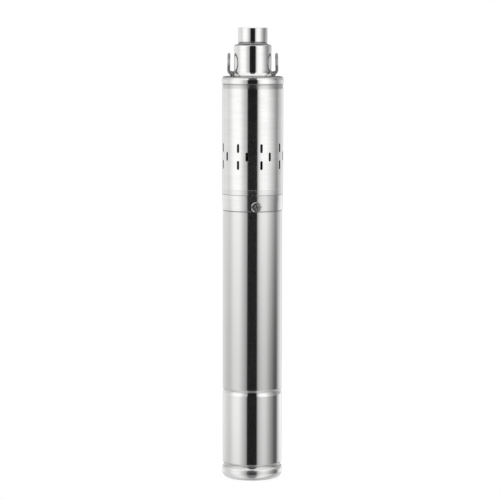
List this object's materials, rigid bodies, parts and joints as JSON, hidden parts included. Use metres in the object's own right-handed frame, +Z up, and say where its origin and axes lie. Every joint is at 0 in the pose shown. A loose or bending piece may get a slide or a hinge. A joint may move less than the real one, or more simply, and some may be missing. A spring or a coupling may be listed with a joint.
{
  "type": "borehole submersible pump",
  "caption": "Slim stainless borehole pump: motor below, slotted intake, screw pumping element, flanged head with threaded outlet and two lifting rings.",
  "frame": {"origin": "middle of the bottom face, on the pump's axis", "axes": "+Z up along the pump to the outlet, -Y towards the picture's camera, +X to its right"},
  "size_m": [0.097, 0.097, 0.712],
  "materials": {
    "polished_steel": "mirror-polished stainless steel",
    "brushed_steel": "fine satin stainless steel",
    "screw_steel": "bright stainless screws",
    "bearing_steel": "ground steel",
    "grey_casting": "rough cast, machined seats",
    "lamination": "stacked sheet steel",
    "copper": "varnished copper wire",
    "aluminium": "plain",
    "black_rubber": "matt black nitrile rubber",
    "ceramic": "lapped ceramic",
    "carbon": "lapped carbon",
    "black_plastic": "moulded"
  },
  "bodies": {
    "pump_body": {"intake_casing": "polished_steel", "discharge_head": "polished_steel", "lifting_ring_left": "polished_steel", "lifting_ring_right": "polished_steel", "cable_gland_nut": "polished_steel", "motor_casing": "brushed_steel", "bottom_cap": "brushed_steel", "connection_band": "brushed_steel", "stator_tube": "brushed_steel", "band_screw_1": "screw_steel", "band_screw_2": "screw_steel", "band_screw_3": "screw_steel", "lower_bearing_outer_race": "bearing_steel", "upper_bearing_outer_race": "bearing_steel", "wave_washer": "bearing_steel", "motor_adapter": "grey_casting", "lower_bearing_housing": "grey_casting", "stator_core": "lamination", "stator_windings": "copper", "diaphragm_ring": "aluminium", "capacitor": "aluminium", "adapter_o_ring": "black_rubber", "head_o_ring": "black_rubber", "shaft_lip_seal": "black_rubber", "stator_rubber": "black_rubber", "pressure_diaphragm": "black_rubber", "capacitor_buffer": "black_rubber", "cable_grommet": "black_rubber", "seal_seat": "ceramic", "capacitor_holder": "black_plastic"},
    "motor_rotor": {"motor_shaft": "bearing_steel", "rotor_core": "lamination", "rotor_end_ring_lower": "aluminium", "rotor_end_ring_upper": "aluminium", "lower_bearing_inner_race": "bearing_steel", "upper_bearing_inner_race": "bearing_steel", "seal_face": "carbon", "seal_spring": "bearing_steel", "sand_slinger": "black_rubber", "drive_coupling": "bearing_steel", "coupling_set_screw": "screw_steel"},
    "lower_bearing_cage": {"lower_bearing_balls": "bearing_steel"},
    "upper_bearing_cage": {"upper_bearing_balls": "bearing_steel"},
    "flex_orbit": {"flexible_shaft": "bearing_steel"},
    "screw": {"screw_rotor": "polished_steel"}
  },
  "joints": [
    {"name": "motor_spin", "type": "hinge", "parent": "pump_body", "child": "motor_rotor", "pos_m": [0, 0, 0.15], "axis": [0, 0, 1], "continuous": true},
    {"name": "lower_cage_spin", "type": "hinge", "parent": "pump_body", "child": "lower_bearing_cage", "pos_m": [0, 0, 0.1507], "axis": [0, 0, 1], "continuous": true},
    {"name": "upper_cage_spin", "type": "hinge", "parent": "pump_body", "child": "upper_bearing_cage", "pos_m": [0, 0, 0.4075], "axis": [0, 0, 1], "continuous": true},
    {"name": "flex_orbit_turn", "type": "hinge", "parent": "pump_body", "child": "flex_orbit", "pos_m": [0, 0, 0.5], "axis": [0, 0, 1], "continuous": true},
    {"name": "screw_turn", "type": "hinge", "parent": "flex_orbit", "child": "screw", "pos_m": [0.003, 0, 0.6], "axis": [0, 0, 1], "continuous": true}
  ],
  "couplings": [
    {"joint": "lower_cage_spin", "follows": "motor_spin", "ratio": 0.3814},
    {"joint": "upper_cage_spin", "follows": "motor_spin", "ratio": 0.3814},
    {"joint": "flex_orbit_turn", "follows": "motor_spin", "ratio": -1},
    {"joint": "screw_turn", "follows": "motor_spin", "ratio": 2}
  ]
}
